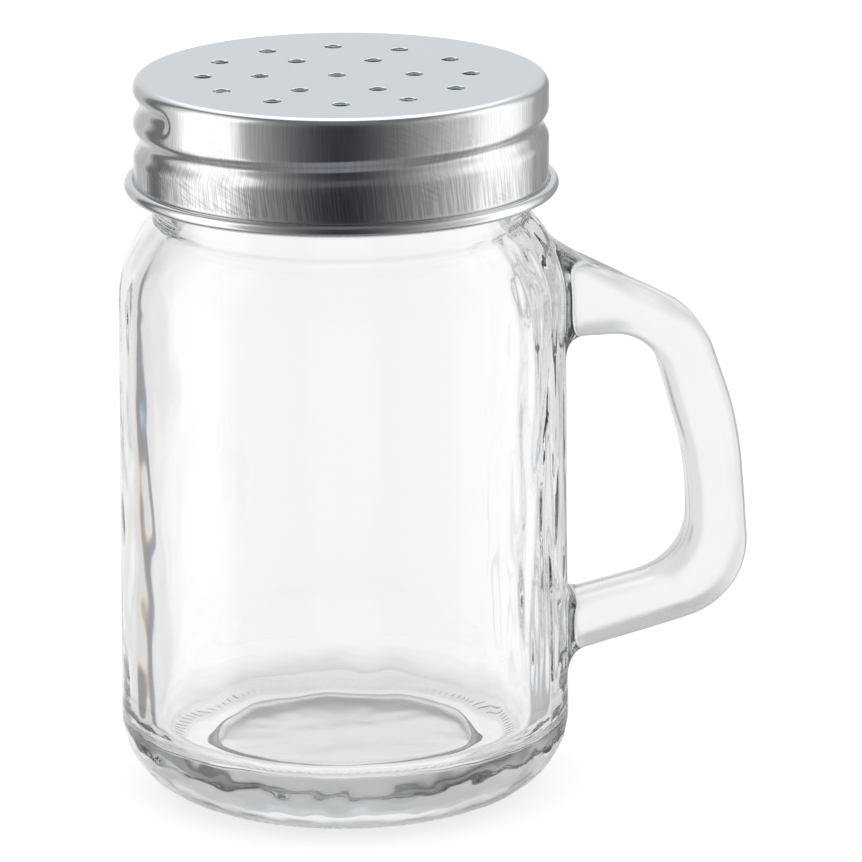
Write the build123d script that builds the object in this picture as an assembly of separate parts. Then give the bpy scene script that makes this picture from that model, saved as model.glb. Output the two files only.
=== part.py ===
from build123d import *
import os
from math import acos, asin, degrees, radians, sqrt, tan

os.makedirs("parts", exist_ok=True)

# A small handled glass jar with a pierced screw cap, for shaking salt.
# Millimetres. The origin is the middle of the base, +Z runs up the jar's axis
# and +X points at the handle.

# Jar
rim_height = 85.55
body_dia = 53.0
foot_dia = 53.7
wall = 3.3
floor_thickness = 7.6
heel_radius = 9.4
rest_ring_width = 2.4
punt_depth = 1.6
cavity_corner_radius = 4.0
neck_height = 15.35
neck_dia = 44.4
neck_wall = 2.6
shoulder_radius = 14.2
crease_radius = 0.9
inner_crease_radius = 3.0
rim_round = 0.9

# Screw thread on the neck, six turns to the inch
inch = 25.4
turns_per_inch = 6
thread_height = 1.65
thread_round = 1.25
thread_turns = 1.25
thread_below_rim = 2.0

# Handle, an arm out from the shoulder, a grip and an arm back to the heel
handle_width = 9.0
handle_edge_round = 2.3
root_round = 2.5
top_root_below_neck = 5.15
top_elbow_out = 16.3
top_elbow_below_neck = 13.45
grip_bend_out = 20.75
grip_bend_height = 44.0
low_elbow_out = 22.5
low_elbow_height = 21.9
low_root_height = 15.6
elbow_radius = 9.8
grip_bend_radius = 40.0
round_share = 0.49

# Finger opening, whose corners lie inside the handle's outer corners
top_root_depth = 10.25
gap_top_elbow_in = 6.1
gap_top_elbow_down = 1.6
gap_bend_in = 5.7
gap_bend_down = 6.3
gap_low_elbow_in = 7.45
gap_low_elbow_up = 3.9
low_root_depth = 6.4
gap_top_radius = 6.1
gap_low_radius = 7.9
root_cover = 0.55

# Screw cap, one piece of thin sheet
sheet = 0.35
cap_height = 13.7
cap_edge_radius = 1.3
thread_clearance = 0.3
curl_dia = 1.5
curl_slit = 0.15
groove_depth = 0.8
groove_round = 1.62
groove_turns = 1.29
groove_below_top = 3.05
groove_top_angle = 204.0
thread_slack = 0.12

# Shaker holes, a centre hole and two rings, punched slightly off the axis
hole_dia = 2.1
inner_ring_holes = 6
inner_ring_dia = 18.15
outer_ring_holes = 12
outer_ring_dia = 31.5
hole_turn = -4.4
hole_shift_x = -0.47
hole_shift_y = -0.21

# Sealing ring between the rim and the cap
seal_thickness = 1.0
seal_gap = 0.05
seal_side_gap = 0.1

# Heights and radii that follow from the sizes above
body_r = body_dia / 2
foot_r = foot_dia / 2
neck_r = neck_dia / 2
mouth_r = neck_r - neck_wall
thread_pitch = inch / turns_per_inch
thread_r = neck_r + thread_height
thread_lead = thread_pitch / 2 - thread_slack
crease_z = rim_height - neck_height
shoulder_end = shoulder_radius - (body_r - neck_r)
shoulder_z = crease_z - sqrt(shoulder_radius**2 - shoulder_end**2)
seal_bottom = rim_height + seal_gap
seal_top = seal_bottom + seal_thickness
cap_under = seal_top + seal_gap
cap_top = cap_under + sheet
cap_bottom = cap_top - cap_height
cap_bore_r = thread_r + thread_clearance
cap_r = cap_bore_r + sheet
groove_r = cap_r - groove_depth + groove_round
groove_top_z = cap_top - groove_below_top
cap_edge_bore_round = cap_edge_radius - sheet


# A flat outline in the plane of the axis, with some corners rounded
def outline(edges, corners):
    face = make_face(edges)
    for point, radius in corners:
        corner = face.vertices().sort_by_distance(Vector(*point))[0]
        face = fillet(corner, radius)
    return Plane.XZ * face


# A closed loop of straight runs with rounded corners. A round takes at most
# its share of the shorter run beside it, so two rounds never meet.
def rounded_loop(corners):
    points = [point for point, radius in corners]
    radii = []
    for i, (point, radius) in enumerate(corners):
        arriving = points[i] - points[i - 1]
        leaving = points[(i + 1) % len(points)] - points[i]
        half_turn = radians(arriving.get_angle(leaving)) / 2
        room = round_share * min(arriving.length, leaving.length)
        radii.append(min(radius, room / tan(half_turn)))
    return make_face(FilletPolyline(*points, radius=radii, close=True))


# A round rod that follows the screw thread, with ball ends
def thread_rod(path_r, section_r, top_angle, top_z, turns):
    rise = turns * thread_pitch
    start = Pos(0, 0, top_z - rise) * Rot(0, 0, top_angle - 360 * turns)
    path = start * Helix(pitch=thread_pitch, height=rise, radius=path_r)
    section = Plane(origin=path @ 0, z_dir=path % 0) * Circle(section_r)
    rod = sweep(section, path=path, is_frenet=True)
    for end in (path @ 0, path @ 1):
        rod = rod + Pos(end) * Sphere(section_r)
    return rod


# The jar's outer form with its mouth closed
def jar_outside():
    heel_r = foot_r - heel_radius
    ring_r = heel_r - rest_ring_width
    punt_radius = (ring_r**2 + punt_depth**2) / (2 * punt_depth)
    punt_angle = degrees(asin(ring_r / punt_radius))
    shoulder_angle = degrees(acos(shoulder_end / shoulder_radius))
    edges = [
        CenterArc((0, punt_depth - punt_radius), punt_radius, 90 - punt_angle, punt_angle),
        Line((ring_r, 0), (heel_r, 0)),
        CenterArc((heel_r, heel_radius), heel_radius, -90, 90),
        Line((foot_r, heel_radius), (body_r, shoulder_z)),
        CenterArc((body_r - shoulder_radius, shoulder_z), shoulder_radius, 0, shoulder_angle),
        Line((neck_r, crease_z), (neck_r, rim_height)),
        Line((neck_r, rim_height), (0, rim_height)),
        Line((0, rim_height), (0, punt_depth)),
    ]
    corners = [
        ((neck_r, crease_z), crease_radius),
        ((neck_r, rim_height), rim_round),
    ]
    return revolve(outline(edges, corners), Axis.Z)


# The space inside the jar, open through the mouth
def jar_cavity():
    inner_r = body_r - wall
    inner_round = shoulder_radius - wall
    inner_end = inner_round - (inner_r - mouth_r)
    inner_crease_z = shoulder_z + sqrt(inner_round**2 - inner_end**2)
    inner_angle = degrees(acos(inner_end / inner_round))
    above = rim_height + rim_round
    edges = [
        Line((0, floor_thickness), (inner_r, floor_thickness)),
        Line((inner_r, floor_thickness), (inner_r, shoulder_z)),
        CenterArc((inner_r - inner_round, shoulder_z), inner_round, 0, inner_angle),
        Line((mouth_r, inner_crease_z), (mouth_r, rim_height - rim_round)),
        CenterArc((mouth_r + rim_round, rim_height - rim_round), rim_round, 90, 90),
        Line((mouth_r + rim_round, rim_height), (mouth_r + rim_round, above)),
        Line((mouth_r + rim_round, above), (0, above)),
        Line((0, above), (0, floor_thickness)),
    ]
    corners = [
        ((inner_r, floor_thickness), cavity_corner_radius),
        ((mouth_r, inner_crease_z), inner_crease_radius),
    ]
    return revolve(outline(edges, corners), Axis.Z)


# The thread stands above the cap's groove by the thread lead, so the two mesh
def jar_thread():
    top_z = rim_height - thread_below_rim
    path_r = thread_r - thread_round
    turn_down = 360 * (groove_top_z + thread_lead - top_z) / thread_pitch
    return thread_rod(path_r, thread_round, groove_top_angle - turn_down, top_z, thread_turns)


def glass_jar():
    return jar_outside() + jar_thread() - jar_cavity()


# The handle is its own gather of glass, fused to the wall at its two roots
def handle():
    top_root_z = crease_z - top_root_below_neck
    top_elbow = Vector(body_r + top_elbow_out, crease_z - top_elbow_below_neck)
    grip_bend = Vector(body_r + grip_bend_out, grip_bend_height)
    low_elbow = Vector(body_r + low_elbow_out, low_elbow_height)
    top_slope = (top_root_z - top_elbow.Y) / top_elbow_out
    low_slope = (low_elbow_height - low_root_height) / low_elbow_out
    gap_edge = body_r - root_cover
    inset = root_cover + 3 * handle_edge_round
    outside = [
        (Vector(body_r - inset, top_root_z + top_slope * inset), 0),
        (top_elbow, elbow_radius),
        (grip_bend, grip_bend_radius),
        (low_elbow, elbow_radius),
        (Vector(body_r - inset, low_root_height - low_slope * inset), 0),
    ]
    opening = [
        (Vector(gap_edge, top_root_z - top_root_depth), root_round),
        (top_elbow - Vector(gap_top_elbow_in, gap_top_elbow_down), gap_top_radius),
        (grip_bend - Vector(gap_bend_in, gap_bend_down), grip_bend_radius),
        (low_elbow + Vector(-gap_low_elbow_in, gap_low_elbow_up), gap_low_radius),
        (Vector(gap_edge, low_root_height + low_root_depth), root_round),
    ]
    side = Plane.XZ * (rounded_loop(outside) - rounded_loop(opening))
    arm = extrude(side, amount=handle_width / 2, both=True)
    sides = arm.faces().filter_by(Axis.Y)
    arm = fillet(sides.edges(), handle_edge_round)
    return arm - jar_outside()


# Top, skirt and the rim curled outwards, turned as one thin shell
def cap_shell():
    edge_r = cap_r - cap_edge_radius
    curl_r = curl_dia / 2
    curl_mid = (cap_bore_r + curl_r, cap_bottom + curl_r)
    edges = [
        Line((0, cap_top), (edge_r, cap_top)),
        CenterArc((edge_r, cap_top - cap_edge_radius), cap_edge_radius, 0, 90),
        Line((cap_r, cap_top - cap_edge_radius), (cap_r, curl_mid[1])),
        Line((cap_r, curl_mid[1]), (cap_bore_r, curl_mid[1])),
        Line((cap_bore_r, curl_mid[1]), (cap_bore_r, cap_top - cap_edge_radius)),
        CenterArc((edge_r, cap_top - cap_edge_radius), cap_edge_bore_round, 0, 90),
        Line((edge_r, cap_under), (0, cap_under)),
        Line((0, cap_under), (0, cap_top)),
    ]
    shell = revolve(outline(edges, []), Axis.Z)
    curl_ring = Circle(curl_r) - Circle(curl_r - sheet)
    curl = revolve(Plane.XZ * Pos(*curl_mid) * curl_ring, Axis.Z)
    slit_ring = Circle(cap_r + curl_slit) - Circle(cap_r)
    slit = Pos(0, 0, curl_mid[1]) * extrude(slit_ring, curl_dia)
    return shell + (curl - slit)


def shaker_holes():
    middle = Pos(hole_shift_x, hole_shift_y, cap_under + sheet / 2) * Rot(0, 0, hole_turn)
    places = [
        Locations((0, 0)),
        PolarLocations(inner_ring_dia / 2, inner_ring_holes),
        PolarLocations(outer_ring_dia / 2, outer_ring_holes),
    ]
    punch = Cylinder(hole_dia / 2, cap_edge_radius)
    return [middle * spot * punch for ring in places for spot in ring]


# The thread groove is pressed in from outside and stands out as a ridge inside
def screw_cap():
    skirt_core = Pos(0, 0, cap_top - cap_height / 2) * Cylinder(cap_bore_r + sheet / 2, cap_height)
    ridge = thread_rod(groove_r, groove_round + sheet, groove_top_angle, groove_top_z, groove_turns)
    groove = thread_rod(groove_r, groove_round, groove_top_angle, groove_top_z, groove_turns)
    return cap_shell() + (ridge & skirt_core) - groove - shaker_holes()


def sealing_ring():
    outer_r = cap_bore_r - cap_edge_bore_round - seal_side_gap
    ring = extrude(Circle(outer_r) - Circle(mouth_r), seal_thickness)
    return Pos(0, 0, seal_bottom) * ring


pieces = {
    "glass_jar": glass_jar,
    "handle": handle,
    "screw_cap": screw_cap,
    "sealing_ring": sealing_ring,
}
for name, make in pieces.items():
    export_step(make(), f"parts/{name}.step")
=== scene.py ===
from math import atan2, cos, degrees, hypot, pi, radians, sin, sqrt

import bpy
import numpy as np
from mathutils import Matrix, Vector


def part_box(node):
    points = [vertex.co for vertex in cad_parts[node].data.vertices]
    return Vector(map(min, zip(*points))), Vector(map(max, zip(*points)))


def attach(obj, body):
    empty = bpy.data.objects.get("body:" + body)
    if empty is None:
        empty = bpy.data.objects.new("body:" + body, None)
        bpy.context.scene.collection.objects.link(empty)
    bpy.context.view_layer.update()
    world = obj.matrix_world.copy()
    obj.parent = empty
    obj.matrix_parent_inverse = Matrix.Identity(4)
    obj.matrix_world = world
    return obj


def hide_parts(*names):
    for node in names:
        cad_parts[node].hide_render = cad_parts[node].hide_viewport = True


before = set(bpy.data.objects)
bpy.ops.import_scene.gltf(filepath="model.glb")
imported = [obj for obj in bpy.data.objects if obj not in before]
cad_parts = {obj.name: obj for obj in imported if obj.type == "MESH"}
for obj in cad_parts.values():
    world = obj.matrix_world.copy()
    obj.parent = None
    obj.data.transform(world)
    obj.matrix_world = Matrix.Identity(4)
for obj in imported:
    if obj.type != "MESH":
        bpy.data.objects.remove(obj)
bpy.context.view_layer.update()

# A small glass jar with a side handle and a pierced screw cap, full size.
# Sizes are written in millimetres and turned to metres by mm.
mm = 0.001
scene = bpy.context.scene


# Adds a node; an input takes a number, a colour, another node or one of its sockets
def addNode(tree, kind, inputs=None, **settings):
    node = tree.nodes.new(kind)
    for name, value in settings.items():
        setattr(node, name, value)
    for name, value in (inputs or {}).items():
        if isinstance(value, bpy.types.Node):
            value = value.outputs[0]
        if isinstance(value, bpy.types.NodeSocket):
            tree.links.new(value, node.inputs[name])
        else:
            node.inputs[name].default_value = value
    return node


# Turns an sRGB hex colour to the linear values that sockets take
def hexColour(text):
    channels = [int(text[i:i + 2], 16) / 255 for i in (1, 3, 5)]
    linear = [c / 12.92 if c <= 0.04045 else ((c + 0.055) / 1.055) ** 2.4 for c in channels]
    return (*linear, 1.0)


# Points along an arc of a profile, from one angle to the other, with both ends
def arc(centre, radius, start, end, steps):
    angles = np.radians(np.linspace(start, end, steps + 1))
    return [(centre[0] + radius * cos(a), centre[1] + radius * sin(a)) for a in angles]


def line(start, end, steps):
    return [tuple(p) for p in np.linspace(start, end, steps + 1)]


# A form is a mesh while it is built; a point's marks say where a finish or a wave shows
def newForm():
    return dict(points=[], faces=[], marks=[])


def addPoints(form, points, marks=None):
    first = len(form["points"])
    form["points"] += [tuple(p) for p in points]
    form["marks"] += [marks or {}] * len(points)
    return list(range(first, len(form["points"])))


def addRing(form, radius, height, count, marks=None):
    angles = [2 * pi * i / count for i in range(count)]
    return addPoints(form, [(radius * cos(a), radius * sin(a), height) for a in angles], marks)


# Faces between two closed rings; one may be a pole or have twice the other's points, and
# keep says at which of its steps there are faces
def joinRings(form, low, high, keep=None):
    faces = form["faces"]
    n, m = len(low), len(high)
    for i in range(max(n, m) if 1 in (n, m) else min(n, m)):
        if keep and not keep(i):
            continue
        j = i + 1
        if n == 1:
            faces.append((low[0], high[j % m], high[i]))
        elif m == 1:
            faces.append((low[i], low[j % n], high[0]))
        elif n == m:
            faces.append((low[i], low[j % n], high[j % m], high[i]))
        elif m > n:
            middle = high[2 * i + 1]
            faces += [(low[i], middle, high[2 * i]), (low[i], low[j % n], middle)]
            faces.append((low[j % n], high[2 * j % m], middle))
        else:
            middle = low[2 * i + 1]
            faces += [(low[2 * i], middle, high[i]), (high[i], middle, high[j % m])]
            faces.append((middle, low[2 * j % n], high[j % m]))


# A smooth mesh object in metres from a form, with each mark as an attribute
def meshFrom(name, form):
    mesh = bpy.data.meshes.new(name)
    mesh.from_pydata([[c * mm for c in p] for p in form["points"]], [], form["faces"])
    for mark in sorted({key for marks in form["marks"] for key in marks}):
        layer = mesh.attributes.new(mark, "FLOAT", "POINT")
        layer.data.foreach_set("value", [marks.get(mark, 0.0) for marks in form["marks"]])
    mesh.shade_smooth()
    piece = bpy.data.objects.new(name, mesh)
    scene.collection.objects.link(piece)
    return piece


# Runs a Geometry Nodes tree on a piece and keeps the plain mesh. Its named inputs are
# lengths in millimetres and other values.
def applyTree(piece, tree, lengths, others):
    values = {name: length * mm for name, length in lengths.items()} | others
    modifier = piece.modifiers.new(tree.name, "NODES")
    modifier.node_group = tree
    for item in tree.interface.items_tree:
        if item.in_out == "INPUT" and item.name in values:
            modifier[item.identifier] = values[item.name]
    evaluated = piece.evaluated_get(bpy.context.evaluated_depsgraph_get())
    mesh = bpy.data.meshes.new_from_object(evaluated)
    piece.modifiers.clear()
    piece.data = mesh


# A tree with a geometry in and out, number inputs named for sizes and a material input
def newTree(name, sizes, counts):
    tree = bpy.data.node_groups.new(name, "GeometryNodeTree")
    inputs = [("Geometry", "Geometry"), *((size, "Float") for size in sizes),
              *((count, "Int") for count in counts), ("material", "Material")]
    for label, kind in inputs:
        tree.interface.new_socket(name=label, in_out="INPUT", socket_type="NodeSocket" + kind)
    tree.interface.new_socket(name="Geometry", in_out="OUTPUT", socket_type="NodeSocketGeometry")
    return tree, addNode(tree, "NodeGroupInput").outputs


# How far a point lies inside a helical band, 1 on its middle line and 0 past its edges. Past
# its two ends a whole turn counts as endReach, so a shorter one draws them out.
def helixBand(tree, size):
    place = addNode(tree, "GeometryNodeInputPosition")
    x, y, z = addNode(tree, "ShaderNodeSeparateXYZ", {0: place}).outputs
    angle = addNode(tree, "ShaderNodeMath", {0: y, 1: x}, operation="ARCTAN2")
    turned = addNode(tree, "ShaderNodeMath", {0: size["topAngle"], 1: angle}, operation="SUBTRACT")
    turned = addNode(tree, "ShaderNodeMath", {0: turned, 1: 2 * pi}, operation="DIVIDE")
    turned = addNode(tree, "ShaderNodeMath", {0: turned, 1: 1.0}, operation="FLOORED_MODULO")
    down = addNode(tree, "ShaderNodeMath", {0: size["topHeight"], 1: z}, operation="SUBTRACT")
    down = addNode(tree, "ShaderNodeMath", {0: down, 1: size["pitch"]}, operation="DIVIDE")
    whole = addNode(tree, "ShaderNodeMath", {0: down, 1: turned}, operation="SUBTRACT")
    whole = addNode(tree, "ShaderNodeMath", {0: whole}, operation="ROUND")
    turn = addNode(tree, "ShaderNodeMath", {0: turned, 1: whole}, operation="ADD")
    onBand = addNode(tree, "ShaderNodeClamp", {"Value": turn, "Min": 0.0, "Max": size["turns"]})
    across = addNode(tree, "ShaderNodeMath", {0: onBand, 1: down}, operation="SUBTRACT")
    across = addNode(tree, "ShaderNodeMath", {0: across, 1: size["pitch"]}, operation="MULTIPLY")
    past = addNode(tree, "ShaderNodeMath", {0: turn, 1: onBand}, operation="SUBTRACT")
    past = addNode(tree, "ShaderNodeMath", {0: past, 1: size["endReach"]}, operation="MULTIPLY")
    offset = addNode(tree, "ShaderNodeCombineXYZ", {"X": across, "Y": past})
    distance = addNode(tree, "ShaderNodeVectorMath", {0: offset}, operation="LENGTH").outputs["Value"]
    phase = addNode(tree, "ShaderNodeMapRange", {0: distance, 2: size["halfWidth"], 4: pi})
    wave = addNode(tree, "ShaderNodeMath", {0: phase}, operation="COSINE")
    return addNode(tree, "ShaderNodeMath", {0: wave, 1: 0.5, 2: 0.5}, operation="MULTIPLY_ADD")


# Moves points along a direction by a distance
def pushPoints(tree, geometry, direction, distance):
    offset = addNode(tree, "ShaderNodeVectorMath", {0: direction, "Scale": distance}, operation="SCALE")
    return addNode(tree, "GeometryNodeSetPosition", {"Geometry": geometry, "Offset": offset})


def endTree(tree, geometry, material):
    solid = addNode(tree, "GeometryNodeRealizeInstances", {"Geometry": geometry})
    dressed = addNode(tree, "GeometryNodeSetMaterial", {"Geometry": solid, "Material": material})
    addNode(tree, "NodeGroupOutput", {0: dressed})


# The unit direction away from the jar's axis
def outwards(tree):
    place = addNode(tree, "GeometryNodeInputPosition")
    flat = addNode(tree, "ShaderNodeVectorMath", {0: place, 1: (1, 1, 0)}, operation="MULTIPLY")
    return addNode(tree, "ShaderNodeVectorMath", {0: flat}, operation="NORMALIZE")


# Materials
print("materials")


# The node tree of a material or a world, with nothing in it yet
def emptyTree(owner):
    owner.use_nodes = True
    owner.node_tree.nodes.clear()
    return owner.node_tree


def newMaterial(name):
    material = bpy.data.materials.new(name)
    tree = emptyTree(material)
    shader = addNode(tree, "ShaderNodeBsdfPrincipled")
    output = addNode(tree, "ShaderNodeOutputMaterial", {"Surface": shader})
    return material, tree, shader, output


# Object coordinates in millimetres, stretched along each axis
def patternPlace(tree, stretch=(1, 1, 1)):
    place = addNode(tree, "ShaderNodeTexCoord").outputs["Object"]
    scale = tuple(1 / (mm * s) for s in stretch)
    return addNode(tree, "ShaderNodeMapping", {"Vector": place, "Scale": scale})


# Pressed soda-lime glass, fire polished: clear, faintly grey-green through a long
# path, with slow swells left by the mould, a little clouded along the handle and
# stippled where the mould's bottom plate formed the base
glassLook = dict(ior=1.52, tint="#f6fafa", absorb=9.0, swell=3.2, swellDepth=0.004, roughness=0.004,
                 cloud=4.0, cloudEdges=(0.3, 0.7), clouded=(0.125, 0.25), stippled=0.3)


def clearGlass():
    look = glassLook
    material, tree, shader, output = newMaterial("pressedSodaLimeGlass")
    shader.inputs["Base Color"].default_value = (1, 1, 1, 1)
    shader.inputs["Transmission Weight"].default_value = 1.0
    shader.inputs["IOR"].default_value = look["ior"]
    swells = addNode(tree, "ShaderNodeTexNoise", {
        "Vector": patternPlace(tree, (look["swell"],) * 3), "Scale": 1.0, "Detail": 1.0})
    bump = addNode(tree, "ShaderNodeBump", {
        "Height": swells, "Strength": 1.0, "Distance": look["swellDepth"] * mm})
    tree.links.new(bump.outputs[0], shader.inputs["Normal"])
    arm = addNode(tree, "ShaderNodeAttribute", attribute_name="arm")
    cloud = addNode(tree, "ShaderNodeTexNoise", {
        "Vector": patternPlace(tree, (look["cloud"],) * 3), "Scale": 1.0, "Detail": 2.0})
    cloud = addNode(tree, "ShaderNodeMapRange", {
        0: cloud, 1: look["cloudEdges"][0], 2: look["cloudEdges"][1],
        3: look["clouded"][0], 4: look["clouded"][1]})
    rough = addNode(tree, "ShaderNodeMix", {0: arm.outputs["Fac"], 2: look["roughness"], 3: cloud})
    stippled = addNode(tree, "ShaderNodeAttribute", attribute_name="stippled")
    rough = addNode(tree, "ShaderNodeMix", {0: stippled.outputs["Fac"], 2: rough, 3: look["stippled"]})
    tree.links.new(rough.outputs[0], shader.inputs["Roughness"])
    absorb = addNode(tree, "ShaderNodeVolumeAbsorption", {
        "Color": hexColour(look["tint"]), "Density": look["absorb"]})
    tree.links.new(absorb.outputs[0], output.inputs["Volume"])
    return material


# Drawn stainless sheet: a cool bright grey. The die left fine upright lines on the skirt,
# strongest below the thread groove, and handling left slanted rubs in patches. The top
# is an even satin and the bore inside is dull. The bore inside is painted dark grey as
# painted shade inside the cap, and the top's under side is painted pale as painted light.
# The real lines are finer than a pixel, so they are drawn as wide as lineWidth to show.
steelLook = dict(
    # inner is painted shade on the bore inside the cap, under is painted light on the top's under side
    colour="#d3d4d4", dark="#b0b2b3", inner="#6d6f71", under="#eff0f0", stain="#85807b",
    low=0.10, high=0.22, dull=0.5,
    lineWidth=0.24, lineLength=6.0, lineDepth=0.02, lineEdges=(0.4, 0.6), slant=0.12, slantBelow=8.0,
    lowBand=(6.5, 5.0), aboveBand=0.35, offCurl=(1.5, 2.1), offTop=(0.2, 1.2),
    patch=(9.0, 9.0, 14.0), wornEdges=(0.4, 0.6), leastWorn=0.25, satinEdges=(0.35, 0.7),
    rubs=0.5, rubLength=3.2, rubWidth=0.35, rubSlope=24.0, rubEdges=(0.4, 0.65), rubPatch=(0.5, 0.6))


def drawnSteel():
    look = steelLook
    material, tree, shader, output = newMaterial("drawnStainlessSteel")
    shader.inputs["Metallic"].default_value = 1.0
    x, y, z = addNode(tree, "ShaderNodeSeparateXYZ", {0: patternPlace(tree)}).outputs

    # Where the finish changes: the skirt below the top edge, its low band, and the curl
    onSkirt = addNode(tree, "ShaderNodeMapRange", {
        0: z, 1: capTop - look["offTop"][0], 2: capTop - look["offTop"][1]})
    lowBand = addNode(tree, "ShaderNodeMapRange", {
        0: z, 1: capBottom + look["lowBand"][0], 2: capBottom + look["lowBand"][1],
        3: look["aboveBand"]})
    offCurl = addNode(tree, "ShaderNodeMapRange", {
        0: z, 1: capBottom + look["offCurl"][0], 2: capBottom + look["offCurl"][1]})
    strong = addNode(tree, "ShaderNodeMath", {0: lowBand, 1: offCurl}, operation="MULTIPLY")
    strong = addNode(tree, "ShaderNodeMath", {0: strong, 1: onSkirt}, operation="MULTIPLY")
    patches = addNode(tree, "ShaderNodeTexNoise", {
        "Vector": patternPlace(tree, look["patch"]), "Scale": 1.0, "Detail": 2.0})

    # Lines from the die, in millimetres round the skirt and down it
    angle = addNode(tree, "ShaderNodeMath", {0: y, 1: x}, operation="ARCTAN2")
    around = addNode(tree, "ShaderNodeMath", {0: angle, 1: curlOuter}, operation="MULTIPLY")
    slantTop = capTop - look["slantBelow"]
    lean = addNode(tree, "ShaderNodeMapRange", {
        0: z, 1: slantTop, 2: capBottom, 3: 0.0, 4: look["slant"] * (slantTop - capBottom)})
    across = addNode(tree, "ShaderNodeMath", {0: around, 1: lean}, operation="SUBTRACT")
    upright = addNode(tree, "ShaderNodeCombineXYZ", {"X": across, "Y": z})
    fine = addNode(tree, "ShaderNodeMapping", {
        "Vector": upright, "Scale": (1 / look["lineWidth"], 1 / look["lineLength"], 1)})
    lines = addNode(tree, "ShaderNodeTexNoise", {"Vector": fine, "Scale": 1.0, "Detail": 2.0})
    worn = addNode(tree, "ShaderNodeMapRange", {
        0: patches, 1: look["wornEdges"][0], 2: look["wornEdges"][1], 3: look["leastWorn"]})
    lined = addNode(tree, "ShaderNodeMath", {0: strong, 1: worn}, operation="MULTIPLY")
    bump = addNode(tree, "ShaderNodeBump", {
        "Height": lines, "Strength": lined, "Distance": look["lineDepth"] * mm})
    tree.links.new(bump.outputs[0], shader.inputs["Normal"])

    satin = addNode(tree, "ShaderNodeMapRange", {
        0: patches, 1: look["satinEdges"][0], 2: look["satinEdges"][1],
        3: look["low"], 4: look["high"]})
    rough = addNode(tree, "ShaderNodeMix", {0: onSkirt, 2: (look["low"] + look["high"]) / 2, 3: satin})
    # The bore inside: rougher, and painted dark grey as painted shade
    inside = addNode(tree, "ShaderNodeAttribute", attribute_name="inside").outputs["Fac"]
    rough = addNode(tree, "ShaderNodeMix", {0: inside, 2: rough, 3: look["dull"]})
    tree.links.new(rough.outputs[0], shader.inputs["Roughness"])

    # Where the lines are darker and the rubs stained, then each colour over the one before: the lines,
    # the rubs, the painted shade on the bore inside and the painted light on the top's under side
    drawn = addNode(tree, "ShaderNodeMapRange", {
        0: lines, 1: look["lineEdges"][0], 2: look["lineEdges"][1]})
    drawn = addNode(tree, "ShaderNodeMath", {0: drawn, 1: strong}, operation="MULTIPLY")
    slanted = addNode(tree, "ShaderNodeMapping", {
        "Vector": upright, "Rotation": (0, 0, radians(look["rubSlope"]))})
    slanted = addNode(tree, "ShaderNodeMapping", {
        "Vector": slanted, "Scale": (1 / look["rubLength"], 1 / look["rubWidth"], 1)})
    rubbed = addNode(tree, "ShaderNodeTexNoise", {"Vector": slanted, "Scale": 1.0, "Detail": 3.0})
    rubs = addNode(tree, "ShaderNodeMapRange", {
        0: rubbed, 1: look["rubEdges"][0], 2: look["rubEdges"][1], 4: look["rubs"]})
    stain = addNode(tree, "ShaderNodeMapRange", {
        0: patches, 1: look["rubPatch"][0], 2: look["rubPatch"][1], 4: rubs})
    stain = addNode(tree, "ShaderNodeMath", {0: stain, 1: strong}, operation="MULTIPLY")
    # The top's under side, painted pale as painted light
    under = addNode(tree, "ShaderNodeAttribute", attribute_name="under").outputs["Fac"]
    tone = hexColour(look["colour"])
    for share, colour in ((drawn, "dark"), (stain, "stain"), (inside, "inner"), (under, "under")):
        tone = addNode(tree, "ShaderNodeMix", {0: share, 6: tone, 7: hexColour(look[colour])},
                       data_type="RGBA").outputs[2]
    tree.links.new(tone, shader.inputs["Base Color"])
    return material


# Moulded food-grade silicone: milky, matte, with the mould's grain, drawn coarser to show
siliconeLook = dict(colour="#e4e4df", milky=0.3, depth=1.0, grain=0.15, grainDepth=0.006,
                    low=0.45, high=0.65)


def moulded():
    look = siliconeLook
    material, tree, shader, output = newMaterial("mouldedSilicone")
    grain = addNode(tree, "ShaderNodeTexNoise", {
        "Vector": patternPlace(tree, (look["grain"],) * 3), "Scale": 1.0, "Detail": 2.0})
    bump = addNode(tree, "ShaderNodeBump", {"Height": grain, "Distance": look["grainDepth"] * mm})
    tree.links.new(bump.outputs[0], shader.inputs["Normal"])
    shader.inputs["Base Color"].default_value = hexColour(look["colour"])
    shader.inputs["Subsurface Weight"].default_value = look["milky"]
    shader.inputs["Subsurface Radius"].default_value = (look["depth"] * mm,) * 3
    rough = addNode(tree, "ShaderNodeMapRange", {0: grain, 3: look["low"], 4: look["high"]})
    tree.links.new(rough.outputs[0], shader.inputs["Roughness"])
    return material


# Sizes that the pieces share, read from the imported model
jarHigh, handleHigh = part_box("glass_jar")[1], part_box("handle")[1]
capLow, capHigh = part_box("screw_cap")
sealLow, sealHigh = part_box("sealing_ring")
footRadius = jarHigh[1] / mm
rimHeight = jarHigh[2] / mm
capTop = capHigh[2] / mm
capBottom = capLow[2] / mm
curlOuter = capHigh[1] / mm
threadPitch = 25.4 / 6  # six threads to the inch

glassMaterial = clearGlass()
steelMaterial = drawnSteel()
siliconeMaterial = moulded()

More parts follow.
